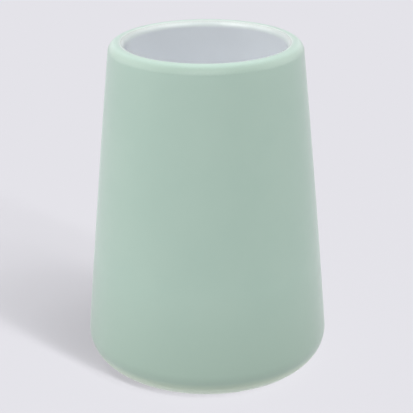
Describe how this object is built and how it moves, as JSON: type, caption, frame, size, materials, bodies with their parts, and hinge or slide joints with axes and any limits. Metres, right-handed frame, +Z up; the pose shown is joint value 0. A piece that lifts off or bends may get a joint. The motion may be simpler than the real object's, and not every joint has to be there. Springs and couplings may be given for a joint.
{
  "type": "toothbrush holder",
  "caption": "Free-standing tapered ceramic tumbler for toothbrushes, with a round rim, a soft-touch coat outside and a white glazed inside.",
  "frame": {"origin": "centre of the foot, on the surface that the pads stand on", "axes": "+Z up along the tumbler's own axis, out of its mouth; the first pad lies towards -Y"},
  "size_m": [0.081, 0.081, 0.11],
  "materials": {
    "biscuit_ceramic": "unglazed, matt",
    "soft_touch_mint": "satin soft-touch lacquer",
    "white_glaze": "glossy",
    "clear_silicone": "clear, slightly frosted"
  },
  "bodies": {
    "root": {"ceramic_body": "biscuit_ceramic", "outer_soft_touch_coat": "soft_touch_mint", "inner_white_glaze": "white_glaze", "base_pad_1": "clear_silicone", "base_pad_2": "clear_silicone", "base_pad_3": "clear_silicone"}
  },
  "joints": []
}
